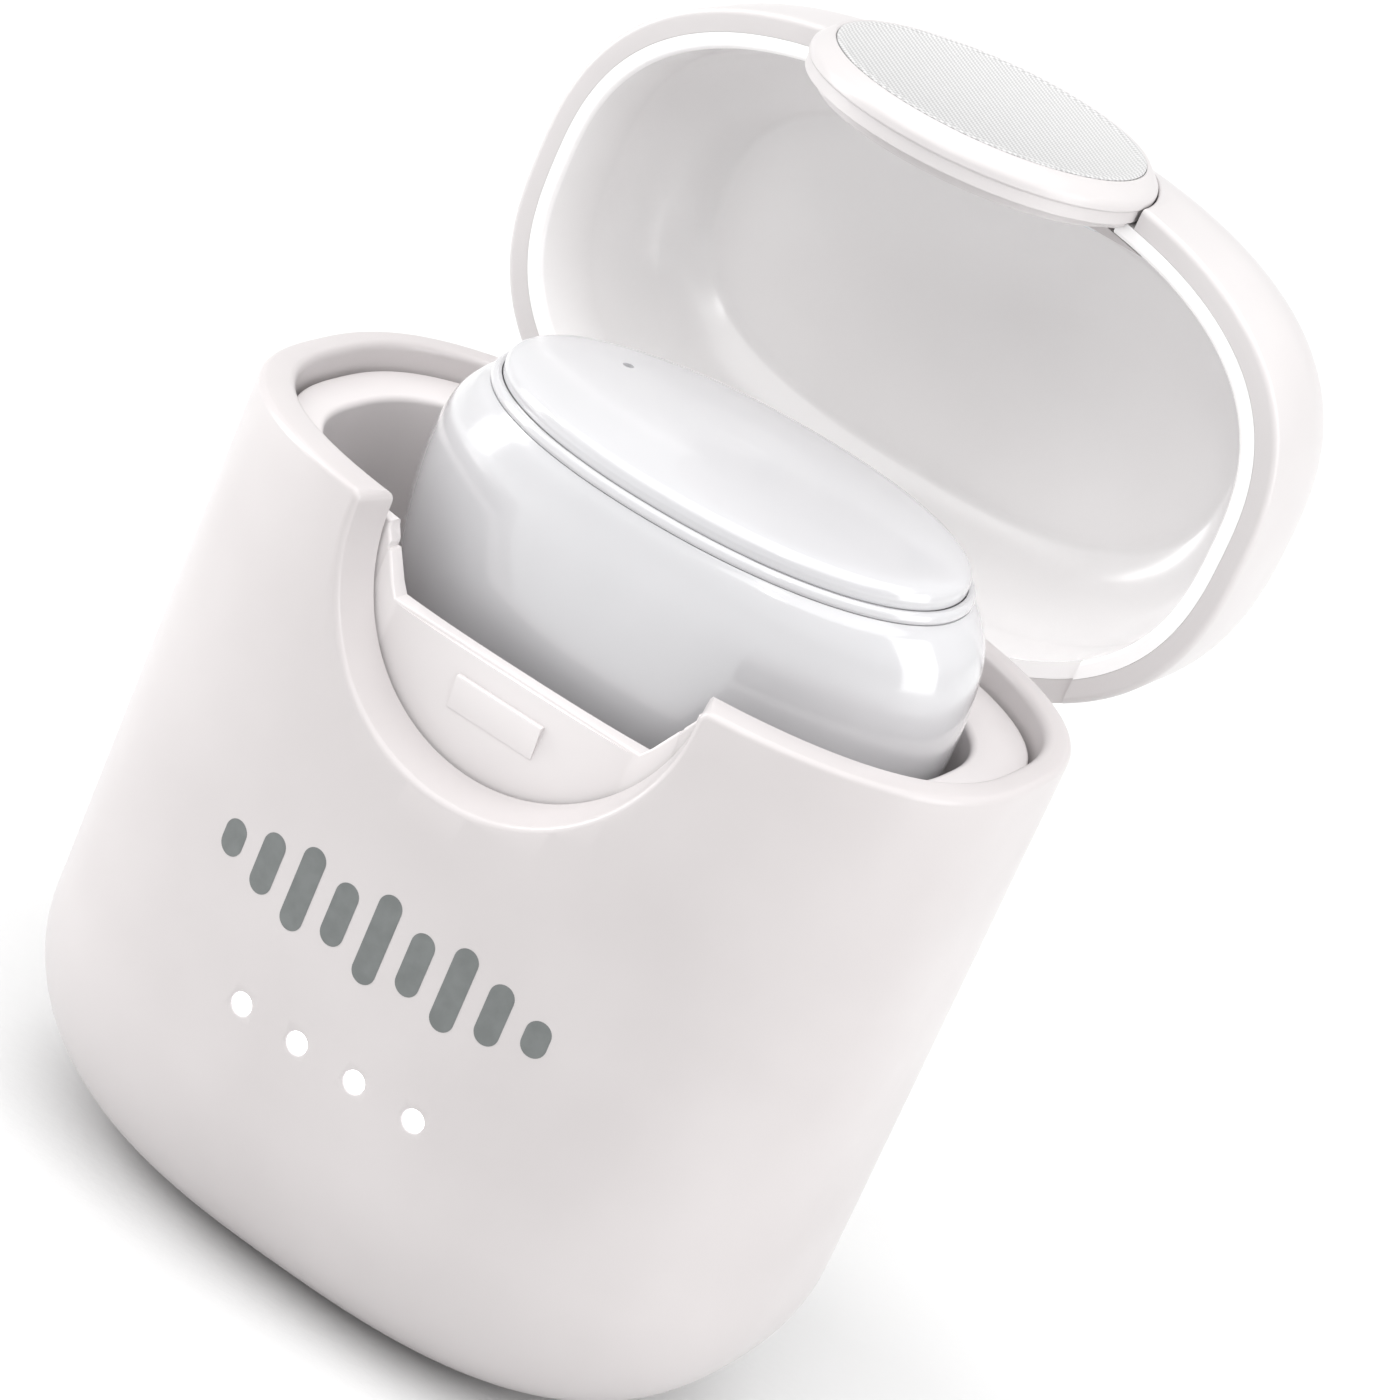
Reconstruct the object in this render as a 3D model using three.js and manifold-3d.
// A pocket charging case for one in-ear earbud, standing open with the earbud in its well.
// Millimetres. +Z is up, +X is to the right seen from the front, -Y is the front.
// The origin is the centre of the flat foot.
import * as THREE from "three";
import { mergeVertices } from "three/addons/utils/BufferGeometryUtils.js";
import Module from "manifold-3d";

const wasm = await Module();
wasm.setup();

const DEG = Math.PI / 180;

// ---- driving dimensions ----
// Case outline: a superellipse, half width by half depth.
const HALF_WIDTH = 19;
const HALF_DEPTH = 12.15;
const OUTLINE_POWER = 2.64;
const OUTLINE_POINTS = 40;
const RIM_Z = 35.2;
// The underside curves in towards a flat foot by these reaches along X, Y and Z.
const FOOT_CURVE = { x: 10, y: 6.6, z: 8.9 };
const CURVE_STEPS = 5;
const EDGE = 0.3;

// Outer shell: its inner face is set back a little, so the front wall is the thick one.
const SHELL_INNER = { a: 17.7, b: 10.5, cy: 0.35 };
const SHELL_FLOOR_Z = 1.6;
const SHELL_CURVE = { x: 8.7, y: 5.0, z: 7.3 };

// Thumb notch in the front wall: a U that narrows towards the inside.
const NOTCH_RADIUS = 8.68;
const NOTCH_INNER_RADIUS = 8.05;
const NOTCH_CENTRE_Z = RIM_Z - 0.69;
const NOTCH_INNER_Y = -10.15;

// Inner liner: deck, well, ledge and the deeper pocket for the ear tip.
const FIT = 0.2;
const DECK_Z = RIM_Z - 1.23;
const DECK_THICKNESS = 1.2;
const WELL = { a: 15.47, b: 8.45, cy: -0.75, power: 2.65 };
const WELL_WALL = 0.75;
const LEDGE = { a: 14.7, b: 7.75, z: 22.2 };
const LEDGE_THICKNESS = 0.9;
const POCKET = { radius: 7, cx: -1.4, cy: 0.2, z: 17 };
const APRON_TOP_Z = RIM_Z - 4;
const APRON_HALF_WIDTH = 6.3;
const APRON_MOUTH_HALF_WIDTH = 7.85;
const CATCH = { width: 4.35, height: 1.55, proud: 0.22, z: RIM_Z - 5.92 };
// Two ribs on the ledge carry the earbud.
const RIBS = [
  { x: -8.9, top: 25.3 },
  { x: 6.2, top: 24.5 },
];
const SIDE_SLOT = { reach: 7.55, height: 0.8, z: RIM_Z - 1.95 };

// Hinge: its axis runs along X near the top of the back wall.
const HINGE_Y = 10.38;
const HINGE_Z = RIM_Z - 2.65;
const LID_OPEN = 91 * DEG;
const PIN_RADIUS = 0.55;
const PIN_BORE = 0.64;
const KNUCKLE_RADIUS = 1.6;
const KNUCKLE_HALF_WIDTH = 7.8;
const EAR = { inner: 8.1, outer: 9.05 };
const HINGE_SLOT_HALF_WIDTH = 9.35;
const BRACKET = { front: 8.78, back: 9.85, bottom: 24.6 };
const BRACKET_SCREW_Z = 26.2;

// Lid: the same outline as the case, closed on it with a narrow seam.
const SEAM = 0.2;
const LID_Z = RIM_Z + SEAM;
const LID_HEIGHT = 13.3;
const LID_ROUND = 9.56;
const LID_WALL = 1;
const LID_LINER_GAP = 0.1;
const LID_LINER_WALL = 0.62;
// The lid's hollow has a flatter ceiling and tighter corners than its outside.
const HOLLOW_ROUND = 5.2;
const HOLLOW_TOP_Z = LID_Z + 10;
const REAR_STEP = { halfWidth: 14.4, depth: 0.25 };

// Thumb disc: it fills a round cut-out in the lid's front and reaches down into the thumb notch.
const DISC_Z = RIM_Z;
const DISC_RADIUS = 8.1;
const DISC_FACE_RADIUS = 7.4;
const DISC_FACE_Y = -12.5;
const DISC_LIP_Y = -11.75;
const DISC_BACK_Y = -10.35;
const DISC_SEAT_RADIUS = 8.35;
const TONGUE = { radius: 7.9, z: RIM_Z + 1.7 };
const DISC_PLATE = { radius: 7.15, y: -12.2 };
const DISC_NECK_RADIUS = 7.3;
const DISC_NECK_HOLE_RADIUS = 7.6;
const RETAINER = { radius: 9.2, front: -10.25, back: -9.55, gap: 0.15 };

// Charge lights, socket, boards and battery.
const LIGHT_PITCH = 3.07;
const LIGHT_Z = 12.65;
const LIGHT_COUNT = 4;
const SOCKET = { width: 8.94, height: 3.2, wall: 0.32, z: 12.8, front: 4.6, back: 11.75 };
const BOARD = { halfX: 13, halfY: 7.2, bottom: 14.6, top: 15.4 };
const BATTERY = { halfX: 10.5, halfY: 6.3, bottom: 3.05, top: 10.85 };

// Earbud: standing in the well, its face tipped slightly back and to one side.
const BUD = { x: 1.6, y: -0.5, z: RIM_Z + 4.45, lean: 3.4 * DEG, roll: -1.2 * DEG };
const BUD_POWER = 2.12;
const BUD_BOTTOM = -14.6;
const NOZZLE_X = -3.1;
const CONTACT = { x: 6.5, y: 2.2, radius: 1 };
const PROBES = [
  { name: "left", x: 8.4, y: -1.82, tip: 24.25 },
  { name: "right", x: 8.4, y: 2.58, tip: 24.5 },
];

// ---- solids ----
function toSolid(geometry) {
  const bare = geometry.clone();
  bare.deleteAttribute("normal");
  bare.deleteAttribute("uv");
  const merged = mergeVertices(bare, 1e-4);
  const mesh = new wasm.Mesh({
    numProp: 3,
    vertProperties: new Float32Array(merged.attributes.position.array),
    triVerts: new Uint32Array(merged.index.array),
  });
  return new wasm.Manifold(mesh);
}

function toGeometry(solid) {
  const mesh = solid.getMesh();
  const geometry = new THREE.BufferGeometry();
  geometry.setAttribute("position", new THREE.BufferAttribute(mesh.vertProperties, 3));
  geometry.setIndex(new THREE.BufferAttribute(mesh.triVerts, 1));
  const flat = geometry.toNonIndexed();
  flat.computeVertexNormals();
  return flat;
}

function cut(geometry, ...tools) {
  let solid = toSolid(geometry);
  for (const tool of tools) solid = solid.subtract(toSolid(tool));
  return toGeometry(solid);
}

function join(geometry, ...others) {
  let solid = toSolid(geometry);
  for (const other of others) solid = solid.add(toSolid(other));
  return toGeometry(solid);
}

// Angles that space the case outline evenly along its length.
function evenAngles(a, b, power, count) {
  const fine = 2000;
  const lengths = [0];
  let last = outlinePoint(a, b, power, 0);
  for (let i = 1; i <= fine; i += 1) {
    const next = outlinePoint(a, b, power, (i / fine) * 2 * Math.PI);
    lengths.push(lengths[i - 1] + Math.hypot(next[0] - last[0], next[1] - last[1]));
    last = next;
  }
  const angles = [];
  let i = 0;
  for (let k = 0; k < count; k += 1) {
    const goal = (lengths[fine] * k) / count;
    while (lengths[i + 1] < goal) i += 1;
    const part = (goal - lengths[i]) / (lengths[i + 1] - lengths[i]);
    angles.push(((i + part) / fine) * 2 * Math.PI);
  }
  return angles;
}

function outlinePoint(a, b, power, angle) {
  const c = Math.cos(angle);
  const s = Math.sin(angle);
  const x = a * Math.sign(c) * Math.abs(c) ** (2 / power);
  const y = b * Math.sign(s) * Math.abs(s) ** (2 / power);
  return [x, y];
}

const ANGLES = evenAngles(HALF_WIDTH, HALF_DEPTH, OUTLINE_POWER, OUTLINE_POINTS);

// A closed body through superellipse rings. Both ends close on a point at their ring's centre.
function loft(rings, angles = ANGLES) {
  const count = angles.length;
  const positions = [];
  for (const { a, b, z, cx = 0, cy = 0, power = OUTLINE_POWER } of rings) {
    for (const angle of angles) {
      const [x, y] = outlinePoint(a, b, power, angle);
      positions.push(cx + x, cy + y, z);
    }
  }
  const index = [];
  for (let i = 0; i + 1 < rings.length; i += 1) {
    for (let j = 0; j < count; j += 1) {
      const next = (j + 1) % count;
      const low = i * count;
      const high = low + count;
      index.push(low + j, low + next, high + next, low + j, high + next, high + j);
    }
  }
  const ends = [rings[0], rings[rings.length - 1]];
  ends.forEach(({ z, cx = 0, cy = 0, rise = 0 }, end) => {
    const pole = positions.length / 3;
    const base = end ? (rings.length - 1) * count : 0;
    positions.push(cx, cy, z + rise);
    for (let j = 0; j < count; j += 1) {
      const next = (j + 1) % count;
      index.push(pole, base + (end ? j : next), base + (end ? next : j));
    }
  });
  const geometry = new THREE.BufferGeometry();
  geometry.setAttribute("position", new THREE.Float32BufferAttribute(positions, 3));
  geometry.setIndex(index);
  const flat = geometry.toNonIndexed();
  flat.computeVertexNormals();
  return flat;
}

// Rings of a quarter curve: full size at its upper end, drawn in by x and y at its lower end.
function curveRings(size, curve, lowZ, steps = CURVE_STEPS) {
  const rings = [];
  for (let i = 0; i <= steps; i += 1) {
    const angle = (i / steps) * (Math.PI / 2);
    const inward = 1 - Math.sin(angle);
    rings.push({
      ...size,
      a: size.a - curve.x * inward,
      b: size.b - curve.y * inward,
      z: lowZ + curve.z * (1 - Math.cos(angle)),
    });
  }
  return rings;
}

function box(x0, x1, y0, y1, z0, z1) {
  const geometry = new THREE.BoxGeometry(x1 - x0, y1 - y0, z1 - z0);
  return geometry.translate((x0 + x1) / 2, (y0 + y1) / 2, (z0 + z1) / 2);
}

// Cylinders along Z from z0 to z1, along Y from y0 to y1, and along X from x0 to x1.
function postZ(radius, x, y, z0, z1, sides = 16) {
  const geometry = new THREE.CylinderGeometry(radius, radius, z1 - z0, sides);
  return geometry.rotateX(Math.PI / 2).translate(x, y, (z0 + z1) / 2);
}

function postY(radius, x, z, y0, y1, sides = 16) {
  const geometry = new THREE.CylinderGeometry(radius, radius, y1 - y0, sides);
  return geometry.translate(x, (y0 + y1) / 2, z);
}

function postX(radius, y, z, x0, x1, sides = 16) {
  const geometry = new THREE.CylinderGeometry(radius, radius, x1 - x0, sides);
  return geometry.rotateZ(Math.PI / 2).translate((x0 + x1) / 2, y, z);
}

// A turned piece about Z through x, y. The profile is a closed list of [radius, z], running
// up its outside and down its inside.
function turned(profile, x = 0, y = 0, sides = 24) {
  const points = [...profile, profile[0]].map(([radius, z]) => new THREE.Vector2(radius, z));
  const geometry = new THREE.LatheGeometry(points, sides);
  return geometry.rotateX(Math.PI / 2).translate(x, y, 0);
}

function roundedRectangle(halfX, halfY, radius) {
  const shape = new THREE.Shape();
  shape.moveTo(halfX, halfY - radius);
  shape.absarc(halfX - radius, halfY - radius, radius, 0, Math.PI / 2);
  shape.absarc(radius - halfX, halfY - radius, radius, Math.PI / 2, Math.PI);
  shape.absarc(radius - halfX, radius - halfY, radius, Math.PI, 1.5 * Math.PI);
  shape.absarc(halfX - radius, radius - halfY, radius, 1.5 * Math.PI, 2 * Math.PI);
  return shape;
}

function plate(halfX, halfY, radius, z0, z1, x = 0, y = 0) {
  const options = { depth: z1 - z0, bevelEnabled: false, curveSegments: 3 };
  const geometry = new THREE.ExtrudeGeometry(roundedRectangle(halfX, halfY, radius), options);
  return geometry.translate(x, y, z0);
}

// A small screw along Z: countersunk head at the low end, cross recess in it, blunt shank.
function screw(headRadius, shankRadius, length) {
  const headHeight = 0.7;
  const body = turned(
    [
      [0, 0],
      [headRadius, 0],
      [headRadius, 0.2],
      [shankRadius, headHeight],
      [shankRadius, length - shankRadius],
      [shankRadius / 2, length],
      [0, length],
    ],
    0,
    0,
    12,
  );
  const slotHalf = 0.12;
  const slotReach = headRadius * 0.6;
  const slotDepth = 0.3;
  return cut(
    body,
    box(-slotReach, slotReach, -slotHalf, slotHalf, -1, slotDepth),
    box(-slotHalf, slotHalf, -slotReach, slotReach, -1, slotDepth),
  );
}

// ---- materials ----
function finish(color, roughness, metalness = 0) {
  return new THREE.MeshStandardMaterial({ color, roughness, metalness });
}

const SHELL_WHITE = finish("#e6e0df", 0.34);
const BUD_WHITE = finish("#f1f1f6", 0.1);
const STEEL = finish("#a9acb0", 0.35, 1);
const GOLD = finish("#c9a24c", 0.3, 1);
const BOARD_GREEN = finish("#1e5a3c", 0.5);
const CHIP_BLACK = finish("#18191b", 0.45);
const FOIL = finish("#b9bcc0", 0.45, 0.6);
const CLEAR = finish("#f4f7ff", 0.15);
const SILICONE = finish("#e9e9ea", 0.6);

const model = new THREE.Group();

function add(parent, name, geometry, material) {
  const mesh = new THREE.Mesh(geometry, material);
  mesh.name = name;
  parent.add(mesh);
  return mesh;
}

// ---- case ----
const chargingCase = new THREE.Group();
model.add(chargingCase);

// The U of the thumb notch, tapering from the outer face to the inner one.
function notchTool(margin = 0) {
  const shape = new THREE.Shape();
  const top = RIM_Z + 3 - NOTCH_CENTRE_Z;
  shape.moveTo(-1, top);
  shape.lineTo(-1, 0);
  shape.absarc(0, 0, 1, Math.PI, 2 * Math.PI);
  shape.lineTo(1, top);
  const front = -HALF_DEPTH - 1;
  const back = NOTCH_INNER_Y + 0.9;
  const options = { depth: back - front, bevelEnabled: false, curveSegments: 20 };
  const geometry = new THREE.ExtrudeGeometry(shape, options);
  geometry.rotateX(Math.PI / 2).translate(0, back, 0);
  const slope = (NOTCH_INNER_RADIUS - NOTCH_RADIUS) / (NOTCH_INNER_Y + HALF_DEPTH);
  const position = geometry.attributes.position;
  for (let i = 0; i < position.count; i += 1) {
    const radius = NOTCH_RADIUS + margin + slope * (position.getY(i) + HALF_DEPTH);
    const z = position.getZ(i);
    position.setX(i, position.getX(i) * radius);
    position.setZ(i, NOTCH_CENTRE_Z + (z > 1.5 ? z : z * radius));
  }
  return geometry;
}

function lightX(i) {
  return (i - (LIGHT_COUNT - 1) / 2) * LIGHT_PITCH;
}

function outerShell() {
  const outer = curveRings({ a: HALF_WIDTH, b: HALF_DEPTH }, FOOT_CURVE, 0);
  const inner = curveRings(SHELL_INNER, SHELL_CURVE, SHELL_FLOOR_Z).reverse();
  const body = loft([
    ...outer,
    { a: HALF_WIDTH, b: HALF_DEPTH, z: RIM_Z - EDGE },
    { a: HALF_WIDTH - EDGE, b: HALF_DEPTH - EDGE, z: RIM_Z },
    { ...SHELL_INNER, z: RIM_Z },
    ...inner,
  ]);
  const lightHoles = [];
  for (let i = 0; i < LIGHT_COUNT; i += 1) {
    lightHoles.push(postY(0.62, lightX(i), LIGHT_Z, -HALF_DEPTH - 1, -9.5, 14));
  }
  const socketHole = new THREE.ExtrudeGeometry(
    roundedRectangle(SOCKET.width / 2 + 0.3, SOCKET.height / 2 + 0.3, SOCKET.height / 2 + 0.2),
    { depth: 4, bevelEnabled: false, curveSegments: 5 },
  );
  socketHole.rotateX(Math.PI / 2).translate(0, HALF_DEPTH + 1, SOCKET.z);
  const slot = box(
    -HINGE_SLOT_HALF_WIDTH,
    HINGE_SLOT_HALF_WIDTH,
    8.4,
    HALF_DEPTH + 1,
    HINGE_Z - KNUCKLE_RADIUS - 0.55,
    RIM_Z + 1,
  );
  return cut(body, notchTool(), slot, socketHole, ...lightHoles);
}

function apronTool() {
  const shape = new THREE.Shape();
  const mouthZ = DECK_Z + 1;
  shape.moveTo(-APRON_HALF_WIDTH - 0.35, APRON_TOP_Z + 0.45);
  shape.lineTo(-APRON_HALF_WIDTH, APRON_TOP_Z);
  shape.lineTo(APRON_HALF_WIDTH, APRON_TOP_Z);
  shape.lineTo(APRON_HALF_WIDTH + 0.35, APRON_TOP_Z + 0.45);
  shape.lineTo(APRON_MOUTH_HALF_WIDTH, DECK_Z - 0.3);
  shape.lineTo(APRON_MOUTH_HALF_WIDTH, mouthZ);
  shape.lineTo(-APRON_MOUTH_HALF_WIDTH, mouthZ);
  shape.lineTo(-APRON_MOUTH_HALF_WIDTH, DECK_Z - 0.3);
  const options = { depth: 3.5, bevelEnabled: false };
  return new THREE.ExtrudeGeometry(shape, options).rotateX(Math.PI / 2).translate(0, -8, 0);
}

// The lid's catch: a wedge on the apron, flush at its foot and proud at its top.
function catchWedge() {
  const apronY = SHELL_INNER.cy - SHELL_INNER.b + FIT;
  const foot = CATCH.z - CATCH.height / 2;
  const shape = new THREE.Shape();
  shape.moveTo(apronY + 0.5, foot);
  shape.lineTo(apronY + 0.5, foot + CATCH.height);
  shape.lineTo(apronY - CATCH.proud, foot + CATCH.height);
  shape.lineTo(apronY - 0.02, foot);
  const geometry = new THREE.ExtrudeGeometry(shape, { depth: CATCH.width, bevelEnabled: false });
  const turn = new THREE.Matrix4().makeBasis(
    new THREE.Vector3(0, 1, 0),
    new THREE.Vector3(0, 0, 1),
    new THREE.Vector3(1, 0, 0),
  );
  return geometry.applyMatrix4(turn).translate(-CATCH.width / 2, 0, 0);
}

function innerLiner() {
  const wall = { a: WELL.a + WELL_WALL, b: WELL.b + WELL_WALL, cy: WELL.cy, power: WELL.power };
  const ledgeWall = { ...wall, a: LEDGE.a + WELL_WALL, b: LEDGE.b + WELL_WALL };
  const pocketWall = {
    a: POCKET.radius + LEDGE_THICKNESS,
    b: POCKET.radius + LEDGE_THICKNESS,
    cx: POCKET.cx,
    cy: POCKET.cy,
    power: 2,
  };
  const pocket = { ...pocketWall, a: POCKET.radius, b: POCKET.radius };
  const deck = {
    a: SHELL_INNER.a - FIT,
    b: SHELL_INNER.b - FIT,
    cy: SHELL_INNER.cy,
  };
  const well = { a: WELL.a, b: WELL.b, cy: WELL.cy, power: WELL.power };
  const ledge = { ...well, a: LEDGE.a, b: LEDGE.b };
  const body = loft([
    { ...pocketWall, z: POCKET.z - LEDGE_THICKNESS },
    { ...pocketWall, z: LEDGE.z - LEDGE_THICKNESS },
    { ...ledgeWall, z: LEDGE.z - LEDGE_THICKNESS },
    { ...wall, z: LEDGE.z + 4 },
    { ...wall, z: DECK_Z - DECK_THICKNESS },
    { ...deck, z: DECK_Z - DECK_THICKNESS },
    { ...deck, z: DECK_Z },
    { ...well, a: well.a + 0.15, b: well.b + 0.15, z: DECK_Z },
    { ...well, z: DECK_Z - 0.2 },
    { ...ledge, z: LEDGE.z + 3 },
    { ...ledge, a: ledge.a - 0.5, b: ledge.b - 0.5, z: LEDGE.z },
    { ...pocket, z: LEDGE.z },
    { ...pocket, z: POCKET.z },
  ]);
  const posts = boardScrewPlaces().map(([x, y]) =>
    postZ(1.6, x, y, BOARD.top + 0.15, LEDGE.z - LEDGE_THICKNESS / 2, 12),
  );
  const ribs = RIBS.map(({ x, top }) => box(x - 0.45, x + 0.45, -3, 3.4, LEDGE.z - 0.4, top));
  const holes = boardScrewPlaces().map(([x, y]) => postZ(0.6, x, y, BOARD.top - 1, 19.2, 10));
  const probeHoles = PROBES.map(({ x, y }) => postZ(0.95, x, y, 20, LEDGE.z + 1, 12));
  const screwHoles = [-1, 1].map((side) => postY(0.55, side * 6, BRACKET_SCREW_Z, 7.55, 9, 10));
  const slots = [-1, 1].map((side) => {
    const near = side * APRON_HALF_WIDTH;
    const far = side * SIDE_SLOT.reach;
    return box(
      Math.min(near, far),
      Math.max(near, far),
      -11,
      -8.4,
      SIDE_SLOT.z - SIDE_SLOT.height / 2,
      SIDE_SLOT.z + SIDE_SLOT.height / 2,
    );
  });
  const hingeClearance = box(
    -HINGE_SLOT_HALF_WIDTH,
    HINGE_SLOT_HALF_WIDTH,
    8.58,
    HALF_DEPTH,
    DECK_Z - DECK_THICKNESS - 1,
    DECK_Z + 1,
  );
  const solid = join(body, catchWedge(), ...posts, ...ribs);
  return cut(
    solid,
    apronTool(),
    hingeClearance,
    ...slots,
    ...holes,
    ...probeHoles,
    ...screwHoles,
  );
}

function boardScrewPlaces() {
  return [
    [-11.2, 4.4],
    [11.7, -5.3],
  ];
}

function hingeBracket() {
  const base = box(-EAR.outer, EAR.outer, BRACKET.front, BRACKET.back, BRACKET.bottom, 30.4);
  const pieces = [];
  const bores = [];
  for (const side of [-1, 1]) {
    const x0 = Math.min(side * EAR.inner, side * EAR.outer);
    const x1 = Math.max(side * EAR.inner, side * EAR.outer);
    pieces.push(box(x0, x1, BRACKET.front, BRACKET.back, 30, HINGE_Z));
    pieces.push(postX(KNUCKLE_RADIUS, HINGE_Y, HINGE_Z, x0, x1, 20));
    bores.push(postX(PIN_BORE, HINGE_Y, HINGE_Z, x0 - 1, x1 + 1, 16));
    bores.push(postY(0.55, side * 6, BRACKET_SCREW_Z, 8, 11, 10));
    const sink = new THREE.CylinderGeometry(1.3, 0.5, 0.8, 14);
    bores.push(sink.translate(side * 6, BRACKET.back - 0.35, BRACKET_SCREW_Z));
  }
  return cut(join(base, ...pieces), ...bores);
}

add(chargingCase, "outer_shell", outerShell(), SHELL_WHITE);
add(chargingCase, "inner_liner", innerLiner(), SHELL_WHITE);
add(chargingCase, "hinge_bracket", hingeBracket(), SHELL_WHITE);
const pin = postX(PIN_RADIUS, HINGE_Y, HINGE_Z, -EAR.outer - 0.1, EAR.outer + 0.1, 16);
add(chargingCase, "hinge_pin", pin, STEEL);

for (const [name, side] of [["left", -1], ["right", 1]]) {
  const mesh = add(chargingCase, `bracket_screw_${name}`, screw(1, 0.42, 2), STEEL);
  mesh.position.set(side * 6, BRACKET.back, BRACKET_SCREW_Z);
  mesh.rotation.x = Math.PI / 2;
}

const batteryBody = plate(BATTERY.halfX, BATTERY.halfY, 1.2, BATTERY.bottom, BATTERY.top);
add(chargingCase, "case_battery", batteryBody, FOIL);
add(chargingCase, "battery_pad", plate(6, 4, 0.5, 1.75, 2.9), CHIP_BLACK);

const mainBoard = cut(
  plate(BOARD.halfX, BOARD.halfY, 1.5, BOARD.bottom, BOARD.top),
  ...boardScrewPlaces().map(([x, y]) => postZ(0.65, x, y, BOARD.bottom - 1, BOARD.top + 1, 10)),
);
add(chargingCase, "main_board", mainBoard, BOARD_GREEN);
add(chargingCase, "charge_chip", box(-7.6, -3.6, -5.4, -1.4, 13.6, 14.5), CHIP_BLACK);
add(chargingCase, "power_inductor", plate(1.6, 1.6, 0.4, 12.9, 14.5, 7, -3.4), CHIP_BLACK);
add(chargingCase, "lead_connector", box(-12.4, -8.8, -3.6, 0.4, 12.9, 14.5), CLEAR);

boardScrewPlaces().forEach(([x, y], i) => {
  const mesh = add(chargingCase, `board_screw_${i + 1}`, screw(1.2, 0.48, 4.2), STEEL);
  mesh.position.set(x, y, BOARD.bottom - 0.85);
});

function socketShell() {
  const outline = roundedRectangle(SOCKET.width / 2, SOCKET.height / 2, SOCKET.height / 2 - 0.05);
  const hole = roundedRectangle(
    SOCKET.width / 2 - SOCKET.wall,
    SOCKET.height / 2 - SOCKET.wall,
    SOCKET.height / 2 - SOCKET.wall - 0.05,
  );
  outline.holes.push(new THREE.Path(hole.getPoints(5)));
  const options = { depth: SOCKET.back - SOCKET.front, bevelEnabled: false, curveSegments: 5 };
  const geometry = new THREE.ExtrudeGeometry(outline, options);
  return geometry.rotateX(Math.PI / 2).translate(0, SOCKET.back, SOCKET.z);
}

add(chargingCase, "socket_shell", socketShell(), STEEL);
const socketTongue = join(
  box(-3.2, 3.2, SOCKET.front, SOCKET.front + 1.4, SOCKET.z - 1.1, SOCKET.z + 1.1),
  box(-3.35, 3.35, SOCKET.front + 1, SOCKET.back - 1.1, SOCKET.z - 0.35, SOCKET.z + 0.35),
);
add(chargingCase, "socket_tongue", socketTongue, CHIP_BLACK);

add(chargingCase, "light_board", box(-8, 8, -8.1, -7.3, 9.4, 14.3), BOARD_GREEN);
for (let i = 0; i < LIGHT_COUNT; i += 1) {
  const x = lightX(i);
  add(
    chargingCase,
    `charge_light_${i + 1}`,
    box(x - 0.8, x + 0.8, -8.75, -8.2, LIGHT_Z - 0.4, LIGHT_Z + 0.4),
    CLEAR,
  );
  const frontY = i === 0 || i === LIGHT_COUNT - 1 ? -12.02 : -12.12;
  const pipe = join(
    postY(0.52, x, LIGHT_Z, frontY, -9.4, 14),
    postY(0.95, x, LIGHT_Z, -9.8, -8.95, 14),
  );
  add(chargingCase, `light_pipe_${i + 1}`, pipe, CLEAR);
}

const probeBlock = cut(
  box(6.75, 10.1, -3.9, 4.66, 17.6, LEDGE.z - LEDGE_THICKNESS - 0.15),
  ...PROBES.map(({ x, y }) => postZ(0.85, x, y, 15, 23, 14)),
);
add(chargingCase, "probe_block", probeBlock, CHIP_BLACK);
for (const { name, x, y } of PROBES) {
  const sleeve = turned(
    [
      [0, 15.65],
      [0.75, 15.65],
      [0.75, 22.6],
      [0.52, 22.6],
      [0.52, 16.6],
      [0, 16.6],
    ],
    x,
    y,
    16,
  );
  add(chargingCase, `probe_sleeve_${name}`, sleeve, GOLD);
}
add(chargingCase, "well_magnet", postZ(1.6, -11.4, -1.2, 19.3, 21.1, 20), STEEL);

// ---- sprung charging probes ----
for (const { name, x, y, tip } of PROBES) {
  const plunger = turned(
    [
      [0, 18],
      [0.45, 18],
      [0.45, tip - 0.25],
      [0.25, tip],
      [0, tip],
    ],
    x,
    y,
    14,
  );
  add(model, `probe_pin_${name}`, plunger, GOLD);
}

// ---- lid, modelled closed and turned open about the hinge ----
const lid = new THREE.Group();
const lidPivot = new THREE.Group();
lidPivot.position.set(0, HINGE_Y, HINGE_Z);
lidPivot.rotation.x = -LID_OPEN;
lid.position.set(0, -HINGE_Y, -HINGE_Z);
lidPivot.add(lid);
model.add(lidPivot);

// Dome rings from the top centre down to the mouth, at an inset from the lid's outer face.
function domeRings(inset, mouthZ, round = LID_ROUND - inset, topZ = LID_Z + LID_HEIGHT - inset) {
  const shoulderZ = topZ - round;
  const rings = [];
  for (let i = 0; i <= CURVE_STEPS + 1; i += 1) {
    const angle = (1 - i / (CURVE_STEPS + 1)) * (Math.PI / 2);
    const inward = round * (1 - Math.cos(angle));
    rings.push({
      a: HALF_WIDTH - inset - inward,
      b: HALF_DEPTH - inset - inward,
      z: shoulderZ + round * Math.sin(angle),
    });
  }
  rings.push({ a: HALF_WIDTH - inset, b: HALF_DEPTH - inset, z: mouthZ });
  return rings;
}

function discHole(radius) {
  return postY(radius, 0, DISC_Z, -HALF_DEPTH - 1, -8.8, 36);
}

function rearStep() {
  return box(
    -REAR_STEP.halfWidth,
    REAR_STEP.halfWidth,
    6,
    HALF_DEPTH + 1,
    LID_Z - 1,
    LID_Z + REAR_STEP.depth,
  );
}

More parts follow.
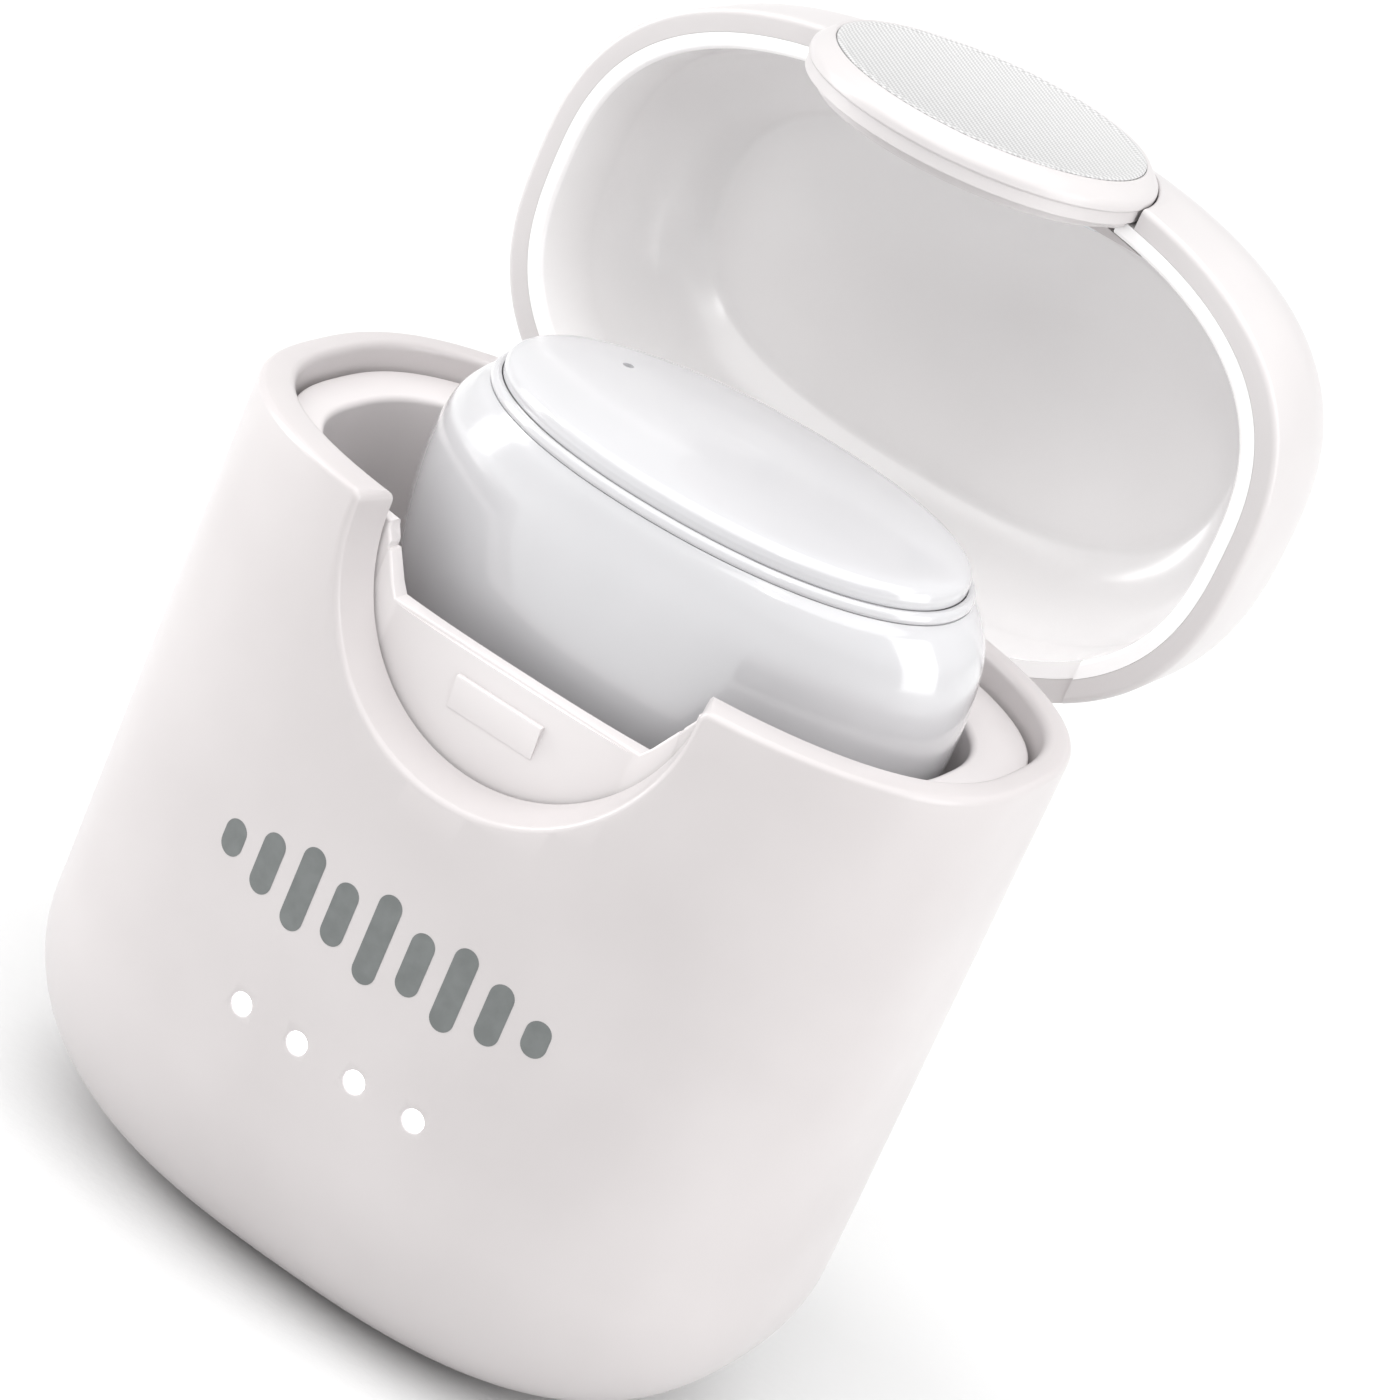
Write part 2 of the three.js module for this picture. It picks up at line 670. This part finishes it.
function lidCover() {
  const inner = domeRings(LID_WALL, LID_Z);
  const outer = domeRings(0, LID_Z + EDGE).reverse();
  const body = loft([
    ...inner,
    { a: HALF_WIDTH - EDGE, b: HALF_DEPTH - EDGE, z: LID_Z },
    ...outer,
  ]);
  const hollow = cut(body, discHole(DISC_SEAT_RADIUS), rearStep());
  const web = box(
    -KNUCKLE_HALF_WIDTH,
    KNUCKLE_HALF_WIDTH,
    9.35,
    11.65,
    HINGE_Z,
    LID_Z + REAR_STEP.depth - 0.15,
  );
  const root = box(
    -KNUCKLE_HALF_WIDTH,
    KNUCKLE_HALF_WIDTH,
    11.2,
    11.65,
    HINGE_Z,
    LID_Z + REAR_STEP.depth + 0.3,
  );
  const knuckle = postX(
    KNUCKLE_RADIUS,
    HINGE_Y,
    HINGE_Z,
    -KNUCKLE_HALF_WIDTH,
    KNUCKLE_HALF_WIDTH,
    20,
  );
  const bore = postX(PIN_BORE, HINGE_Y, HINGE_Z, -12, 12, 16);
  return cut(join(hollow, web, root, knuckle), bore);
}

function lidLiner() {
  const outset = LID_WALL + LID_LINER_GAP;
  const inner = domeRings(outset + LID_LINER_WALL, LID_Z, HOLLOW_ROUND, HOLLOW_TOP_Z);
  const outer = domeRings(outset, LID_Z).reverse();
  return cut(loft([...inner, ...outer]), discHole(DISC_NECK_HOLE_RADIUS), rearStep());
}

// A turned piece about the disc's axis, which runs along Y. The profile is [radius, y].
function turnedAboutY(profile, z, sides) {
  const points = [...profile, profile[0]].map(([radius, y]) => new THREE.Vector2(radius, y));
  return new THREE.LatheGeometry(points, sides).translate(0, 0, z);
}

function thumbDisc() {
  const flange = turnedAboutY(
    [
      [0, DISC_PLATE.y + 0.1],
      [DISC_PLATE.radius + 0.1, DISC_PLATE.y + 0.1],
      [DISC_PLATE.radius + 0.1, DISC_FACE_Y],
      [DISC_FACE_RADIUS, DISC_FACE_Y],
      [DISC_RADIUS, DISC_LIP_Y],
      [DISC_RADIUS, DISC_LIP_Y + 0.35],
      [0, DISC_LIP_Y + 0.35],
    ],
    DISC_Z,
    40,
  );
  const tongue = postY(TONGUE.radius, 0, TONGUE.z, DISC_LIP_Y + 0.1, DISC_BACK_Y, 36);
  const below = box(-10, 10, -13, -9, DISC_Z - 10, LID_Z - 0.1);
  const hanging = toGeometry(toSolid(tongue).intersect(toSolid(below)));
  const neck = postY(DISC_NECK_RADIUS, 0, DISC_Z, DISC_LIP_Y + 0.1, DISC_BACK_Y, 36);
  return join(flange, hanging, neck);
}

function discRetainer() {
  const whole = postY(RETAINER.radius, 0, DISC_Z, RETAINER.front, RETAINER.back, 32);
  const inset = LID_WALL + LID_LINER_GAP + LID_LINER_WALL + RETAINER.gap;
  const round = HOLLOW_ROUND - RETAINER.gap;
  const room = loft(domeRings(inset, LID_Z, round, HOLLOW_TOP_Z - RETAINER.gap).reverse());
  const disc = toGeometry(toSolid(whole).intersect(toSolid(room)));
  const holes = [-1, 1].map((side) => postY(0.5, side * 5, DISC_Z + 4, -12, -9, 10));
  return cut(disc, box(-12, 12, -12, -8, DISC_Z - 12, LID_Z + 0.6), ...holes);
}

add(lid, "lid_cover", lidCover(), SHELL_WHITE);
add(lid, "lid_liner", lidLiner(), SHELL_WHITE);
const discHoles = [-1, 1].map((side) => postY(0.5, side * 5, DISC_Z + 4, -11.6, -9, 10));
add(lid, "thumb_disc", cut(thumbDisc(), ...discHoles), SHELL_WHITE);
const discPlate = postY(DISC_PLATE.radius, 0, DISC_Z, DISC_FACE_Y - 0.05, DISC_PLATE.y, 40);
add(lid, "disc_plate", discPlate, SHELL_WHITE);
add(lid, "disc_retainer", discRetainer(), SHELL_WHITE);
for (const [name, side] of [["left", -1], ["right", 1]]) {
  const mesh = add(lid, `disc_screw_${name}`, screw(0.95, 0.38, 2.2), STEEL);
  mesh.position.set(side * 5, RETAINER.back + 0.75, DISC_Z + 4);
  mesh.rotation.x = Math.PI / 2;
}

// ---- earbud, about the seam between its housing and its face ----
const earbud = new THREE.Group();
earbud.position.set(BUD.x, BUD.y, BUD.z);
earbud.rotation.set(BUD.lean, BUD.roll, 0);
model.add(earbud);

const BUD_ANGLES = evenAngles(13.2, 7.7, BUD_POWER, 32);

function budLoft(rows) {
  const rings = rows.map(([a, b, z]) => ({ a, b, z, power: BUD_POWER }));
  return loft(rings, BUD_ANGLES);
}

function housing() {
  const body = budLoft([
    [9.4, 5.2, BUD_BOTTOM],
    [10.9, 6.2, -13.5],
    [12.0, 6.95, -11.6],
    [12.9, 7.45, -8.8],
    [13.2, 7.65, -5.6],
    [13.1, 7.65, -3.2],
    [12.75, 7.45, -1.7],
    [12.1, 7.1, -0.7],
    [11.45, 6.75, -0.15],
    [10.3, 5.8, -0.15],
    [11.8, 6.4, -2.2],
    [12.15, 6.65, -5.6],
    [11.8, 6.4, -8.8],
    [10.9, 5.85, -11.4],
    [9.7, 5.1, -12.9],
    [8.4, 4.3, -13.6],
  ]);
  return cut(body, postZ(1.7, NOZZLE_X, 0, BUD_BOTTOM - 1, -13, 14));
}

function budFace() {
  const body = budLoft([
    [10.9, 6.4, 0.3],
    [11.1, 6.55, 0.45],
    [11.12, 6.57, 0.85],
    [10.85, 6.35, 1.12],
    [10.2, 5.85, 1.32],
    [7.5, 4.3, 1.55],
    [3.8, 2.1, 1.7],
  ]);
  return cut(body, postZ(0.28, -5.6, 1.5, 0.9, 3, 10));
}

function bezelRing() {
  const outer = budLoft([
    [11.45, 6.85, -0.05],
    [11.5, 6.9, 0.15],
    [11.35, 6.75, 0.35],
  ]);
  const hole = budLoft([
    [11.22, 6.66, -1],
    [11.22, 6.66, 1],
  ]);
  return cut(outer, hole);
}

add(earbud, "bud_housing", housing(), BUD_WHITE);
add(earbud, "bud_bezel", bezelRing(), BUD_WHITE);
const face = add(model, "bud_face", budFace(), BUD_WHITE);
face.position.copy(earbud.position);
face.rotation.copy(earbud.rotation);

const nozzle = turned(
  [
    [1.7, BUD_BOTTOM - 4.9],
    [2.6, BUD_BOTTOM - 4.9],
    [2.8, BUD_BOTTOM - 4.4],
    [2.35, BUD_BOTTOM - 3.7],
    [2.35, BUD_BOTTOM - 0.8],
    [3.1, BUD_BOTTOM - 0.15],
    [1.7, BUD_BOTTOM - 0.15],
  ],
  NOZZLE_X,
  0,
  20,
);
add(earbud, "bud_nozzle", nozzle, BUD_WHITE);
const nozzleMesh = postZ(1.6, NOZZLE_X, 0, BUD_BOTTOM - 4.8, BUD_BOTTOM - 4.5, 16);
add(earbud, "nozzle_mesh", nozzleMesh, STEEL);

const tipTop = BUD_BOTTOM - 0.95;
const earTip = turned(
  [
    [2.95, tipTop - 4.9],
    [3.6, tipTop - 5],
    [4.5, tipTop - 4.3],
    [5.2, tipTop - 3],
    [5.55, tipTop - 1.4],
    [5.5, tipTop - 0.1],
    [4.95, tipTop],
    [4.95, tipTop - 1.5],
    [4.55, tipTop - 2.9],
    [3.75, tipTop - 3.9],
    [3.6, tipTop - 0.2],
    [2.95, tipTop - 0.2],
  ],
  NOZZLE_X,
  0,
  24,
);
add(earbud, "ear_tip", earTip, SILICONE);

for (const [name, side] of [["left", -1], ["right", 1]]) {
  const pad = postZ(
    CONTACT.radius,
    CONTACT.x,
    side * CONTACT.y,
    BUD_BOTTOM - 0.45,
    BUD_BOTTOM - 0.12,
    16,
  );
  add(earbud, `bud_contact_${name}`, pad, GOLD);
}

const budBoard = budLoft([
  [9.6, 4.9, -2.9],
  [9.6, 4.9, -2.3],
]);
add(earbud, "bud_board", budBoard, BOARD_GREEN);
add(earbud, "face_switch", box(-1.6, 1.6, -1.6, 1.6, -2.15, -0.4), STEEL);
add(earbud, "microphone", box(-6.9, -4.3, 0.5, 2.5, -2.15, -1.1), STEEL);
add(earbud, "bud_battery", plate(7.4, 4.3, 1.4, -7.7, -3.2), FOIL);
add(earbud, "speaker", postZ(4.3, NOZZLE_X, 0, -11, -8.1, 24), STEEL);
add(earbud, "bud_magnet", postZ(1.4, 5.2, 0, -12.4, -10.6, 16), STEEL);

export default model;
